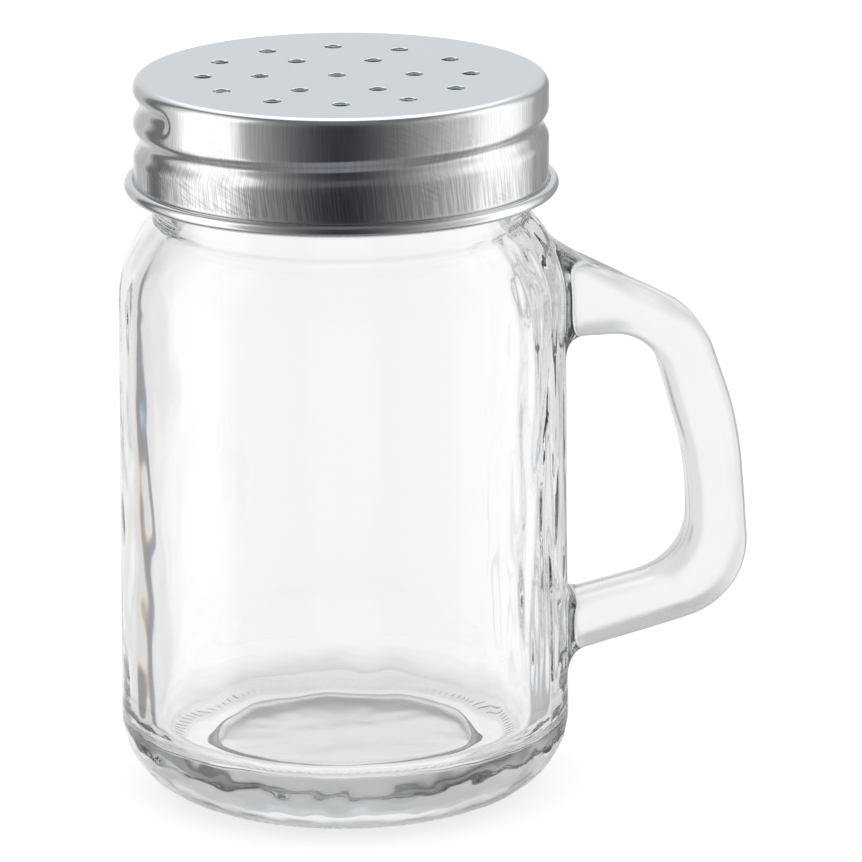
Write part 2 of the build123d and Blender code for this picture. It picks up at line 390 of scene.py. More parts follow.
# The jar: a thick heel with a push-up, straight wall, round shoulder and neck. Each swell
# is how uneven the glass is there, and its size how long the waves are along x, y and z.
print("jar and handle")
jar = dict(
    taper=0.35, wall=3.3, floor=7.5, cavityRound=3.3,
    heelRound=9.4, restRing=0.5, pushUp=2.8, pushUpFlat=15.6,
    neckHeight=15.35, neckRadius=22.2, neckWall=2.6, rimRound=0.9,
    shoulderRound=14.2, creaseRound=0.9, innerCreaseRound=3.0,
    ringCount=324, quarterInside=3, halfInside=7, fineReach=(19.1, 22.9), fineBelow=1.9,
    threadHeight=1.65, threadHalfWidth=1.7, threadTurns=1.25, threadBelowRim=2.0, threadAngle=0.2,
    threadRoot=0.6,
    ribs=108, ribDepth=0.17, ribReach=(19.9, 21.5), ribFades=(0.5, 0.4), ribWave=(-0.35, 0.75),
    stippleReach=(19.3, 23.6), stippleFade=0.6, pushUpStipple=0.6,
    neckSwell=0.6, floorSwell=0.7, pushUpSwell=0.9, heelFade=(20.6, 22.0), heelTopFade=2.4,
    swell=0.09, swellSize=(7, 7, 12), armSwell=0.05, armSwellSize=(6, 6, 6),
    heelSwell=0.09, heelSwellSize=(4, 4, 4),
    flutes=0.22, fluteSize=(3, 3, 17), fluteSide=(0.45, 0.95), fluteLow=(12, 18))

bodyRadius = footRadius - jar["taper"]
innerRadius = bodyRadius - jar["wall"]
creaseHeight = rimHeight - jar["neckHeight"]
shoulderMiddle = bodyRadius - jar["shoulderRound"]
neckReach = jar["neckRadius"] - shoulderMiddle
shoulderHeight = creaseHeight - sqrt(jar["shoulderRound"] ** 2 - neckReach ** 2)

# Steps along each part of its profile
jarSteps = dict(pushUp=8, slope=10, rest=6, heel=30, belowRoots=4, betweenRoots=11,
                shoulder=40, crease=6, neck=40, rim=5, mouth=10, innerCrease=10, innerShoulder=22,
                innerWall=46, corner=12, floor=14)


# Shoulder arc and the hollow crease that takes it into the neck, from the wall up
def shoulder(bend, neck, crease, steps, creaseSteps):
    across = neck + crease - shoulderMiddle
    rise = sqrt((bend + crease) ** 2 - across ** 2)
    meet = degrees(atan2(rise, across))
    over = arc((shoulderMiddle, shoulderHeight), bend, 0, meet, steps)
    return over + arc((neck + crease, shoulderHeight + rise), crease, 180 + meet, 180, creaseSteps)[1:]


# The wall's outer radius at a height, up to the crease
def wallRadius(height):
    if height > shoulderHeight:
        return shoulderMiddle + sqrt(jar["shoulderRound"] ** 2 - (height - shoulderHeight) ** 2)
    upWall = (height - jar["heelRound"]) / (shoulderHeight - jar["heelRound"])
    return footRadius + upWall * (bodyRadius - footRadius)


# The handle: an arm out from the shoulder, a grip and an arm back, with broad round edges.
# Corners are (out from the axis, height) and the round there.
handle = dict(
    halfWidth=handleHigh[1] / mm, edgeRound=2.3,
    outer=[((26.5, 65.05), 0), ((42.8, 56.75), 9.8), ((47.25, 44.0), 40), ((49.0, 21.9), 9.8),
           ((26.5, 15.6), 0)],
    inner=[((26.5, 54.8), 0), ((36.7, 55.15), 6.1), ((41.55, 37.7), 40), ((41.55, 25.8), 7.9),
           ((26.5, 22.2), 0)],
    mostRound=0.9, columns=12, windowRows=13, windowGap=0.2,
    webAbove=2.6, webBelow=2.2, webReach=2.3, webSteps=7,
    bendSteps=60, fineSteps=400, armSteps=(26, 36, 26, 30))

# The openings in the wall at its two roots, each from one height to another
windows = dict(
    top=(handle["inner"][0][0][1] - handle["webBelow"],
         handle["outer"][0][0][1] + handle["webAbove"]),
    low=(handle["outer"][-1][0][1] - handle["webBelow"],
         handle["inner"][-1][0][1] + handle["webBelow"]))


# Heights of the wall's rings, with even rows where each of the handle's roots opens
def wallHeights():
    rows = handle["windowRows"]
    stops = [jar["heelRound"], *windows["low"], *windows["top"]]
    counts = [jarSteps["belowRoots"], rows, jarSteps["betweenRoots"], rows]
    heights = [stops[0]]
    for start, end, steps in zip(stops, stops[1:], counts):
        heights += list(np.linspace(start, end, steps + 1))[1:]
    return heights


# How far a value has gone from a start to an end, from 0 to 1
def progress(value, start, end):
    return min(max((value - start) / (end - start), 0.0), 1.0)


# The heel is uneven outside the rest ring, and stippled where the ribs stand
def heelMarks(radius, height):
    low, high = jar["stippleReach"]
    edge = jar["stippleFade"]
    stippled = progress(radius, low - edge, low) * progress(radius, high + edge, high)
    underWall = progress(height, jar["heelRound"], jar["heelRound"] - jar["heelTopFade"])
    return dict(heel=progress(radius, *jar["heelFade"]) * underWall, stippled=stippled)


# The whole turned profile, from the middle of the push-up round to the middle of the floor,
# in parts with their marks
def jarProfile():
    steps = jarSteps
    heelRadius = footRadius - jar["heelRound"]
    ringRadius = heelRadius - jar["restRing"]
    flat, raised = jar["pushUpFlat"], jar["pushUp"]
    pushUp = line((0, raised), (flat, raised), steps["pushUp"])
    slope = [(flat + (ringRadius - flat) * t, raised * (1 + cos(pi * t)) / 2)
             for t in np.linspace(0, 1, steps["slope"] + 1)[1:]]
    heel = arc((heelRadius, jar["heelRound"]), jar["heelRound"], -90, 0, steps["heel"])[1:-1]
    rim, neck = jar["rimRound"], jar["neckRadius"]
    mouth = neck - jar["neckWall"]
    over = shoulder(jar["shoulderRound"], neck, jar["creaseRound"], steps["shoulder"], steps["crease"])
    over = [p for p in over if p[1] > windows["top"][1] + handle["windowGap"]]
    under = shoulder(jar["shoulderRound"] - jar["wall"], mouth, jar["innerCreaseRound"],
                     steps["innerShoulder"], steps["innerCrease"])[::-1]
    corner, floor = jar["cavityRound"], jar["floor"]
    return [
        (pushUp, dict(cavity=jar["pushUpSwell"], stippled=jar["pushUpStipple"])),
        (slope[:-1], dict(cavity=jar["pushUpSwell"], stippled=1.0)),
        (slope[-1:], {}),
        (line((ringRadius, 0), (heelRadius, 0), steps["rest"])[1:], {}),
        *[([point], heelMarks(*point)) for point in heel],
        ([(wallRadius(h), h) for h in wallHeights()], {}),
        (over, {}),
        (line((neck, over[-1][1]), (neck, rimHeight - rim), steps["neck"])[1:], {}),
        (arc((neck - rim, rimHeight - rim), rim, 0, 90, steps["rim"])[1:], {}),
        (arc((mouth + rim, rimHeight - rim), rim, 90, 180, steps["rim"]), {}),
        (line((mouth, rimHeight - rim), (mouth, under[0][1]), steps["mouth"])[1:], {}),
        (under[1:], dict(cavity=jar["neckSwell"])),
        (line((innerRadius, shoulderHeight), (innerRadius, floor + corner), steps["innerWall"])[1:],
         dict(cavity=1.0)),
        (arc((innerRadius - corner, floor + corner), corner, 0, -90, steps["corner"])[1:],
         dict(cavity=1.0)),
        (line((innerRadius - corner, floor), (0, floor), steps["floor"])[1:],
         dict(cavity=jar["floorSwell"])),
    ]


# Fewer points near the axis, and twice as many where the fine ribs stand
def pointsAround(radius, height):
    full = jar["ringCount"]
    low, high = jar["fineReach"]
    if radius == 0:
        return 1
    if radius < jar["quarterInside"]:
        return full // 4
    if radius < jar["halfInside"]:
        return full // 2
    return 2 * full if height < jar["fineBelow"] and low < radius < high else full


# A rounded rectangle in (out, across), from one corner's middle to the next, side by side
def roundedSection(halfHeight, halfWidth, edgeRound, rows, columns):
    halfCorner = edgeRound * pi / 4
    points = []
    for side in range(4):
        reach, across = ((halfHeight, halfWidth), (halfWidth, halfHeight))[side % 2]
        count = (columns, rows)[side % 2]
        straight = 2 * (across - edgeRound)
        for step in range(count):
            s = step / count * (straight + 2 * halfCorner)
            if s < halfCorner:
                a = pi / 4 - s / edgeRound
                u, v = -across + edgeRound - edgeRound * sin(a), edgeRound * cos(a)
            elif s < halfCorner + straight:
                u, v = -across + edgeRound + s - halfCorner, edgeRound
            else:
                a = (s - halfCorner - straight) / edgeRound
                u, v = across - edgeRound + edgeRound * sin(a), edgeRound * cos(a)
            v += reach - edgeRound
            points.append(((-v, u), (u, v), (v, -u), (-u, -v))[side])
    return points


# Evenly spaced points along a line of points
def resample(points, count):
    points = np.array(points)
    lengths = np.concatenate([[0], np.cumsum(np.hypot(*np.diff(points, axis=0).T))])
    places = np.linspace(0, lengths[-1], count + 1)
    return list(zip(*(np.interp(places, lengths, points[:, axis]) for axis in (0, 1))))


# Rounds a path's corners, cuts it at the middle of each round, leaves out a length at its two
# ends and spaces the points of each part evenly
def roundedPath(corners, stepCounts, trim):
    bendSteps, fineSteps = handle["bendSteps"], handle["fineSteps"]
    parts = [[]]
    for i, (corner, radius) in enumerate(corners):
        corner = np.array(corner)
        if radius == 0:
            parts[-1].append(tuple(corner))
            continue
        back = np.array(corners[i - 1][0]) - corner
        ahead = np.array(corners[i + 1][0]) - corner
        back, ahead = back / hypot(*back), ahead / hypot(*ahead)
        half = np.arccos(np.dot(back, ahead)) / 2
        middle = corner + (back + ahead) / hypot(*(back + ahead)) * radius / sin(half)
        first = corner + back * radius / np.tan(half)
        last = corner + ahead * radius / np.tan(half)
        start = atan2(*(first - middle)[::-1])
        turn = (atan2(*(last - middle)[::-1]) - start + pi) % (2 * pi) - pi
        angles = [start + turn * k / bendSteps for k in range(bendSteps + 1)]
        bend = [tuple(middle + radius * np.array((cos(a), sin(a)))) for a in angles]
        parts[-1] += bend[:bendSteps // 2 + 1]
        parts.append(bend[bendSteps // 2:])
    path = []
    for number, (part, steps) in enumerate(zip(parts, stepCounts)):
        fine = resample(part, fineSteps)
        length = sum(hypot(*np.subtract(p, q)) for p, q in zip(part, part[1:]))
        left = round(fineSteps * trim / length)
        if number == 0:
            fine = fine[left:]
        if number == len(parts) - 1:
            fine = fine[:len(fine) - left]
        spaced = resample(fine, steps)
        path += spaced if number == len(parts) - 1 else spaced[:-1]
    return path


# The handle's rings, from the top root round to the low one
def handleRings():
    outer = roundedPath(handle["outer"], handle["armSteps"], handle["webReach"])
    inner = roundedPath(handle["inner"], handle["armSteps"], handle["webReach"])
    rings = []
    for out, near in zip(outer, inner):
        middle = (np.array(out) + near) / 2
        reach = (np.array(out) - near) / 2
        halfHeight = hypot(*reach)
        edgeRound = min(handle["edgeRound"], handle["mostRound"] * halfHeight)
        section = roundedSection(halfHeight, handle["halfWidth"], edgeRound,
                                 handle["windowRows"], 2 * handle["columns"])
        unit = reach / halfHeight
        rings.append([(middle[0] + u * unit[0], v, middle[1] + u * unit[1]) for u, v in section])
    return rings


# Where the handle's line through a point and the one after it meets the jar's wall
def touchWall(point, after):
    slope = (after[2] - point[2]) / (after[0] - point[0])
    x, y, z = point
    for _ in range(4):  # each pass comes nearer to where they meet
        x = sqrt(wallRadius(z) ** 2 - y ** 2)
        z = point[2] + slope * (x - point[0])
    return x, y, z


# A smooth web of glass from an opening in the wall to the handle's first ring
def joinRoot(form, opening, ring, after):
    edge = [np.array(form["points"][i]) for i in opening]
    touch = [np.array(touchWall(p, q)) for p, q in zip(ring, after)]
    loops = [opening]
    for step in range(1, handle["webSteps"]):
        t = step / handle["webSteps"]
        web = [(1 - t) ** 2 * a + 2 * t * (1 - t) * b + t ** 2 * np.array(c)
               for a, b, c in zip(edge, touch, ring)]
        loops.append(addPoints(form, web, dict(arm=t)))
    return loops


def glassMug():
    form = newForm()
    rings = [addRing(form, radius, height, pointsAround(radius, height), marks)
             for points, marks in jarProfile() for radius, height in points]

    # The rings of the wall's outside at each root, where faces are left out behind the handle
    columns, full = handle["columns"], jar["ringCount"]
    firsts = [form["points"][ring[0]] for ring in rings]
    openings = [[ring for ring, (radius, _, height) in zip(rings, firsts)
                 if low <= height <= high and radius > wallRadius(height) - jar["wall"] / 2]
                for low, high in windows.values()]
    for low, high in zip(rings, rings[1:]):
        cutOut = any(low in rows and high in rows for rows in openings)
        joinRings(form, low, high, (lambda i: columns <= i < full - columns) if cutOut else None)

    # The edge of each opening, in the order of the handle's sections
    def edgeOf(rows):
        across = list(range(-columns, columns))
        return ([rows[0][i] for i in across] + [row[columns] for row in rows[:-1]]
                + [rows[-1][-i] for i in across] + [row[-columns] for row in rows[:0:-1]])

    arm = handleRings()
    topWeb = joinRoot(form, edgeOf(openings[0]), arm[0], arm[1])
    lowWeb = joinRoot(form, edgeOf(openings[1][::-1]), arm[-1], arm[-2])
    loops = topWeb + [addPoints(form, ring, dict(arm=1.0)) for ring in arm] + lowWeb[::-1]
    for before, after in zip(loops, loops[1:]):
        joinRings(form, before, after)
    return meshFrom("glass_mug", form)


# A slow random field from -1 to 1, with its swells as long as given along each axis
def unevenness(tree, lengths):
    least, most = 0.25, 0.75  # nearly all of the noise lies between these
    scaled = addNode(tree, "ShaderNodeVectorMath", {
        0: addNode(tree, "GeometryNodeInputPosition"), 1: tuple(1 / (s * mm) for s in lengths)},
        operation="MULTIPLY")
    field = addNode(tree, "ShaderNodeTexNoise", {"Vector": scaled, "Scale": 1.0, "Detail": 1.0})
    return addNode(tree, "ShaderNodeMapRange", {0: field, 1: least, 2: most, 3: -1.0, 4: 1.0})


# Screw thread on the neck, ribs under the foot, and the flutes and swells of uneven glass
def mugDetails():
    sizes = ["pitch", "topHeight", "topAngle", "turns", "halfWidth", "endReach", "threadHeight",
             "neckInside", "ribDepth", "ribInside", "ribOutside", "ribBelow", "swell", "flutes",
             "armSwell", "heelSwell"]
    tree, size = newTree("pressedDetails", sizes, ["ribs"])
    place = addNode(tree, "GeometryNodeInputPosition")
    x, y, z = addNode(tree, "ShaderNodeSeparateXYZ", {0: place}).outputs
    level = addNode(tree, "ShaderNodeVectorMath", {0: place, 1: (1, 1, 0)}, operation="MULTIPLY")
    fromAxis = addNode(tree, "ShaderNodeVectorMath", {0: level}, operation="LENGTH").outputs["Value"]

    # The thread, on the outside of the neck only
    onNeck = addNode(tree, "ShaderNodeMath", {0: fromAxis, 1: size["neckInside"]},
                     operation="GREATER_THAN")
    rise = helixBand(tree, size)
    for part in (size["threadHeight"], onNeck):
        rise = addNode(tree, "ShaderNodeMath", {0: rise, 1: part}, operation="MULTIPLY")
    threaded = pushPoints(tree, size["Geometry"], outwards(tree), rise)

    # Ribs: a wave round the foot, faded at both edges of its band
    angle = addNode(tree, "ShaderNodeMath", {0: y, 1: x}, operation="ARCTAN2")
    phase = addNode(tree, "ShaderNodeMath", {0: angle, 1: size["ribs"]}, operation="MULTIPLY")
    wave = addNode(tree, "ShaderNodeMath", {0: phase}, operation="COSINE")
    groove = addNode(tree, "ShaderNodeMapRange", {
        0: wave, 1: jar["ribWave"][0], 2: jar["ribWave"][1], 3: 1.0, 4: 0.0},
        interpolation_type="SMOOTHSTEP")
    fadeIn, fadeOut = jar["ribFades"]
    full = addNode(tree, "ShaderNodeMath", {0: size["ribInside"], 1: fadeIn * mm}, operation="ADD")
    gone = addNode(tree, "ShaderNodeMath", {0: size["ribOutside"], 1: fadeOut * mm}, operation="ADD")
    innerEdge = addNode(tree, "ShaderNodeMapRange", {
        0: fromAxis, 1: size["ribInside"], 2: full}, interpolation_type="SMOOTHSTEP")
    outerEdge = addNode(tree, "ShaderNodeMapRange", {
        0: fromAxis, 1: size["ribOutside"], 2: gone, 3: 1.0, 4: 0.0}, interpolation_type="SMOOTHSTEP")
    depth = addNode(tree, "ShaderNodeMath", {0: z, 1: size["ribBelow"]}, operation="LESS_THAN")
    for part in (groove, innerEdge, outerEdge, size["ribDepth"]):
        depth = addNode(tree, "ShaderNodeMath", {0: depth, 1: part}, operation="MULTIPLY")
    ribbed = pushPoints(tree, threaded, (0, 0, 1), depth)

    # Upright flutes inside the wall, on the handle's side and above the floor's round
    facing = addNode(tree, "ShaderNodeMath", {0: x, 1: fromAxis}, operation="DIVIDE")
    facing = addNode(tree, "ShaderNodeMapRange", {
        0: facing, 1: jar["fluteSide"][0], 2: jar["fluteSide"][1]}, interpolation_type="SMOOTHSTEP")
    high = addNode(tree, "ShaderNodeMapRange", {
        0: z, 1: jar["fluteLow"][0] * mm, 2: jar["fluteLow"][1] * mm})
    flutes = unevenness(tree, jar["fluteSize"])
    for part in (size["flutes"], facing, high):
        flutes = addNode(tree, "ShaderNodeMath", {0: flutes, 1: part}, operation="MULTIPLY")

    # Slow swells of the cavity, the handle and the heel, each where its mark is
    parts = (("cavity", "swell", "swellSize"), ("arm", "armSwell", "armSwellSize"),
             ("heel", "heelSwell", "heelSwellSize"))
    distance = 0.0
    for mark, height, lengths in parts:
        swell = addNode(tree, "ShaderNodeMath", {0: unevenness(tree, jar[lengths]), 1: size[height]},
                        operation="MULTIPLY")
        if mark == "cavity":
            swell = addNode(tree, "ShaderNodeMath", {0: swell, 1: flutes}, operation="ADD")
        marked = addNode(tree, "GeometryNodeInputNamedAttribute", {"Name": mark})
        distance = addNode(tree, "ShaderNodeMath", {0: swell, 1: marked, 2: distance},
                           operation="MULTIPLY_ADD")
    uneven = pushPoints(tree, ribbed, addNode(tree, "GeometryNodeInputNormal"), distance)
    endTree(tree, uneven, size["material"])
    return tree


mug = glassMug()
applyTree(mug, mugDetails(), dict(
    pitch=threadPitch,
    topHeight=rimHeight - jar["threadBelowRim"],
    halfWidth=jar["threadHalfWidth"],
    endReach=pi * jar["neckRadius"],
    threadHeight=jar["threadHeight"],
    neckInside=jar["neckRadius"] - jar["threadRoot"],
    ribDepth=jar["ribDepth"],
    ribInside=jar["ribReach"][0],
    ribOutside=jar["ribReach"][1],
    ribBelow=jar["fineBelow"],
    swell=jar["swell"],
    flutes=jar["flutes"],
    armSwell=jar["armSwell"],
    heelSwell=jar["heelSwell"],
), dict(
    topAngle=radians(jar["threadAngle"]),
    turns=jar["threadTurns"],
    ribs=jar["ribs"],
    material=glassMaterial,
))
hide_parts("glass_jar", "handle")
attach(mug, "jar")

# The cap: thin sheet with a rounded top edge, a pressed thread groove and a curled rim
print("cap")
cap = dict(
    sheet=0.35, edgeRound=1.3, curlRadius=0.75, curlEnd=0.28, slitDepth=0.35, slitSlope=0.02,
    ringCount=360, curlSteps=26, wallSteps=50, edgeSteps=12, innerEdgeSteps=10,
    grooveDepth=0.8, grooveHalfWidth=1.95, grooveTurns=1.29, grooveBelowTop=3.05, grooveAngle=204.0,
    endStretch=1.4,
    holeDiameter=2.1, innerHoles=6, innerRing=18.15, outerHoles=12, outerRing=31.5,
    turn=-4.4, shiftX=-0.47, shiftY=-0.21,
    holePoints=28, rollPoints=8, rollReach=0.32, rollDepth=0.13, rollBelow=0.05, sewn=0.004)
boreRadius = curlOuter - 2 * cap["curlRadius"]
capRadius = boreRadius + cap["sheet"]
edgeRadius = capRadius - cap["edgeRound"]


# The skirt from the under side of the top, down the bore, round the curl and up outside.
# The curl ends a little way inwards of its middle, above a narrow slit beside the skirt.
def skirt():
    form = newForm()
    sheet, edge, curl = cap["sheet"], cap["edgeRound"], cap["curlRadius"]
    edgeHeight = capTop - edge
    curlHeight = capBottom + curl
    inwards = cap["curlEnd"]
    end = degrees(atan2(sqrt(curl ** 2 - inwards ** 2), -inwards))
    rolled = arc((boreRadius + curl, curlHeight), curl, -180, end, cap["curlSteps"])
    slitTop = rolled[-1]
    slitBottom = slitTop[1] - cap["slitDepth"]
    bore = arc((edgeRadius, edgeHeight), edge - sheet, 90, 0, cap["innerEdgeSteps"])
    bore += line((boreRadius, edgeHeight), (boreRadius, curlHeight), cap["wallSteps"])[1:-1]
    profile = list(rolled)
    profile += [(slitTop[0] - cap["slitSlope"], slitBottom), (capRadius, slitBottom)]
    profile += line((capRadius, slitTop[1]), (capRadius, edgeHeight), cap["wallSteps"])
    profile += arc((edgeRadius, edgeHeight), edge, 0, 90, cap["edgeSteps"])[1:]
    count = cap["ringCount"]
    # The bore's rings are marked inside, where the steel is dull and painted dark grey as painted shade
    rings = [addRing(form, radius, height, count, dict(inside=1.0)) for radius, height in bore]
    rings += [addRing(form, radius, height, count) for radius, height in profile]
    for low, high in zip(rings, rings[1:]):
        joinRings(form, low, high)
    return meshFrom("pierced_cap", form)


# Presses the groove into the skirt and closes the top with a pierced double plate
def capDetails():
    sizes = ["pitch", "topHeight", "topAngle", "turns", "halfWidth", "endReach", "grooveDepth",
             "plateHeight", "plateRadius", "sheet", "holeRadius", "innerRing", "outerRing",
             "turn", "shiftX", "shiftY", "rollReach", "rollDepth", "rollBelow"]
    counts = ["innerHoles", "outerHoles", "holePoints", "platePoints"]
    tree, size = newTree("pressAndPierce", sizes, counts)

    depth = helixBand(tree, size)
    for part in (size["grooveDepth"], -1.0):
        depth = addNode(tree, "ShaderNodeMath", {0: depth, 1: part}, operation="MULTIPLY")
    pressed = pushPoints(tree, size["Geometry"], outwards(tree), depth)

    # Where the holes are, and the flat plate with a cut a little wider than each of them
    halfSheet = addNode(tree, "ShaderNodeMath", {0: size["sheet"], 1: 0.5}, operation="MULTIPLY")
    cutRadius = addNode(tree, "ShaderNodeMath", {0: size["holeRadius"], 1: size["rollReach"]},
                        operation="ADD")
    centre = addNode(tree, "GeometryNodeMeshLine", {"Count": 1})
    inner = addNode(tree, "GeometryNodeMeshCircle", {
        "Vertices": size["innerHoles"], "Radius": size["innerRing"]})
    outer = addNode(tree, "GeometryNodeMeshCircle", {
        "Vertices": size["outerHoles"], "Radius": size["outerRing"]})
    spots = addNode(tree, "GeometryNodeJoinGeometry")
    for ring in (centre, inner, outer):
        tree.links.new(ring.outputs[0], spots.inputs[0])
    turn = addNode(tree, "ShaderNodeCombineXYZ", {"Z": size["turn"]})
    shift = addNode(tree, "ShaderNodeCombineXYZ", {"X": size["shiftX"], "Y": size["shiftY"]})
    spots = addNode(tree, "GeometryNodeTransform", {
        "Geometry": spots, "Translation": shift, "Rotation": turn})

    cut = addNode(tree, "GeometryNodeCurvePrimitiveCircle", {
        "Resolution": size["holePoints"], "Radius": cutRadius})
    cuts = addNode(tree, "GeometryNodeInstanceOnPoints", {"Points": spots, "Instance": cut})
    cuts = addNode(tree, "GeometryNodeRealizeInstances", {"Geometry": cuts})
    border = addNode(tree, "GeometryNodeCurvePrimitiveCircle", {
        "Resolution": size["platePoints"], "Radius": size["plateRadius"]})
    outline = addNode(tree, "GeometryNodeJoinGeometry")
    for curve in (border, cuts):
        tree.links.new(curve.outputs[0], outline.inputs[0])
    plate = addNode(tree, "GeometryNodeFillCurve", {"Curve": outline})
    plate = addNode(tree, "GeometryNodeSetShadeSmooth", {"Geometry": plate, "Shade Smooth": False})
    up = addNode(tree, "ShaderNodeCombineXYZ", {"Z": size["plateHeight"]})
    underSide = addNode(tree, "ShaderNodeMath", {0: size["plateHeight"], 1: size["sheet"]},
                        operation="SUBTRACT")
    down = addNode(tree, "ShaderNodeCombineXYZ", {"Z": underSide})
    upper = addNode(tree, "GeometryNodeTransform", {"Geometry": plate, "Translation": up})
    lower = addNode(tree, "GeometryNodeTransform", {"Geometry": plate, "Translation": down})
    lower = addNode(tree, "GeometryNodeFlipFaces", {"Mesh": lower})
    # The lower plate's under side is marked under, where the steel is painted pale as painted light
    lower = addNode(tree, "GeometryNodeStoreNamedAttribute", {
        "Geometry": lower, "Name": "under", "Value": 1.0})

    # Each hole's edge: a wide soft roll from the punch above, a straight wall, a small roll below
    aboveWall = addNode(tree, "ShaderNodeMath", {0: halfSheet, 1: size["rollDepth"]},
                        operation="SUBTRACT")
    underWall = addNode(tree, "ShaderNodeMath", {0: size["rollBelow"], 1: halfSheet},
                        operation="SUBTRACT")
    edge = addNode(tree, "GeometryNodeJoinGeometry")
    rolls = ((aboveWall, size["rollDepth"], pi / 2), (underWall, size["rollBelow"], pi))
    for height, depth, start in rolls:
        roll = addNode(tree, "GeometryNodeCurveArc", {
            "Resolution": cap["rollPoints"], "Radius": 1.0, "Start Angle": start,
            "Sweep Angle": pi / 2})
        shape = addNode(tree, "ShaderNodeCombineXYZ", {"X": size["rollReach"], "Y": depth, "Z": 1.0})
        place = addNode(tree, "ShaderNodeCombineXYZ", {"Y": height})
        roll = addNode(tree, "GeometryNodeTransform", {
            "Geometry": roll, "Scale": shape, "Translation": place})
        tree.links.new(roll.outputs[0], edge.inputs[0])
    toWall = addNode(tree, "ShaderNodeMath", {0: size["rollReach"], 1: -1.0}, operation="MULTIPLY")
    wall = addNode(tree, "GeometryNodeCurvePrimitiveLine", {
        "Start": addNode(tree, "ShaderNodeCombineXYZ", {"X": toWall, "Y": aboveWall}),
        "End": addNode(tree, "ShaderNodeCombineXYZ", {"X": toWall, "Y": underWall})})
    tree.links.new(wall.outputs[0], edge.inputs[0])
    rim = addNode(tree, "GeometryNodeCurveToMesh", {"Curve": cut, "Profile Curve": edge})
    rims = addNode(tree, "GeometryNodeInstanceOnPoints", {"Points": spots, "Instance": rim})
    rims = addNode(tree, "GeometryNodeRealizeInstances", {"Geometry": rims})
    middle = addNode(tree, "ShaderNodeMath", {0: size["plateHeight"], 1: halfSheet},
                     operation="SUBTRACT")
    middle = addNode(tree, "ShaderNodeCombineXYZ", {"Z": middle})
    rims = addNode(tree, "GeometryNodeTransform", {"Geometry": rims, "Translation": middle})

    whole = addNode(tree, "GeometryNodeJoinGeometry")
    for part in (pressed, upper, lower, rims):
        tree.links.new(part.outputs[0], whole.inputs[0])
    sewn = addNode(tree, "GeometryNodeMergeByDistance", {
        "Geometry": whole, "Distance": cap["sewn"] * mm})
    endTree(tree, sewn, size["material"])
    return tree


capPiece = skirt()
applyTree(capPiece, capDetails(), dict(
    pitch=threadPitch,
    topHeight=capTop - cap["grooveBelowTop"],
    halfWidth=cap["grooveHalfWidth"],
    endReach=cap["endStretch"] * pi * capRadius,
    grooveDepth=cap["grooveDepth"],
    plateHeight=capTop,
    plateRadius=edgeRadius,
    sheet=cap["sheet"],
    holeRadius=cap["holeDiameter"] / 2,
    innerRing=cap["innerRing"] / 2,
    outerRing=cap["outerRing"] / 2,
    shiftX=cap["shiftX"],
    shiftY=cap["shiftY"],
    rollReach=cap["rollReach"],
    rollDepth=cap["rollDepth"],
    rollBelow=cap["rollBelow"],
), dict(
    topAngle=radians(cap["grooveAngle"]),
    turns=cap["grooveTurns"],
    turn=radians(cap["turn"]),
    innerHoles=cap["innerHoles"],
    outerHoles=cap["outerHoles"],
    holePoints=cap["holePoints"],
    platePoints=cap["ringCount"],
    material=steelMaterial,
))
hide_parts("screw_cap")
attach(capPiece, "cap")

# The sealing ring: a flat moulded washer with soft edges
print("sealing ring")
seal = dict(edgeRound=0.25, ringCount=180, edgeSteps=4, faceSteps=6)


def sealingRing():
    form = newForm()
    soft, steps, across = seal["edgeRound"], seal["edgeSteps"], seal["faceSteps"]
    low, high = sealLow[2] / mm, sealHigh[2] / mm
    outer, inner = sealHigh[1] / mm, jar["neckRadius"] - jar["neckWall"]
    profile = arc((outer - soft, low + soft), soft, -90, 0, steps)
    profile += arc((outer - soft, high - soft), soft, 0, 90, steps)
    profile += line((outer - soft, high), (inner + soft, high), across)[1:-1]
    profile += arc((inner + soft, high - soft), soft, 90, 180, steps)
    profile += arc((inner + soft, low + soft), soft, 180, 270, steps)
    profile += line((inner + soft, low), (outer - soft, low), across)[1:-1]
    rings = [addRing(form, radius, height, seal["ringCount"]) for radius, height in profile]
    for before, after in zip(rings, rings[1:] + rings[:1]):
        joinRings(form, before, after)
    return meshFrom("sealing_washer", form)


washer = sealingRing()
washer.data.materials.append(siliconeMaterial)
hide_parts("sealing_ring")
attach(washer, "seal")

# The studio: a white floor and a tent of white panels, seen by the glass and the metal
print("studio")
studio = dict(
    cameraAzimuth=-6.0, cameraDistance=804.12, cameraHeight=264.31, lens=292.34, sensor=36.0,
    pitch=15.357, yaw=0.7436, roll=-0.2319, nearest=10.0,
    floorSize=900.0, floorBelow=0.05, floorGlow=0.72, floorAlbedo=0.42)

# What the bright metal mirrors: upright panels, each with its bearing in degrees to the
# right of the photo's line of sight, half its width, its soft edge and its brightness
metalPanels = [(-100, 19, 8, 1.75), (80, 14, 14, 1.6), (22, 6, 24, 0.42), (-5, 8, 14, 0.9),
               (-30, 5, 8, 0.7), (-54, 5, 9, 0.22), (41, 3, 6, 0.5)]

# The rest of that tent: each spot has its climb in degrees, half its width, its soft edge
# and its brightness. Side and front are the brightness beside the camera and behind it, and
# ahead is half the width and the soft edge of what the front's tint takes in.
metalTent = dict(
    side=0.86, sideReach=0.35, front=0.05, below=(-90, 46, 12, 0.3), above=(90, 36, 18, 0.2),
    back=(40, 36, 8, 0.87), high=(52, 22, 10, 1.9), ahead=(18, 16),
    backTint=(0.95, 1.0, 1.04), frontTint=(0.96, 1.0, 1.14))

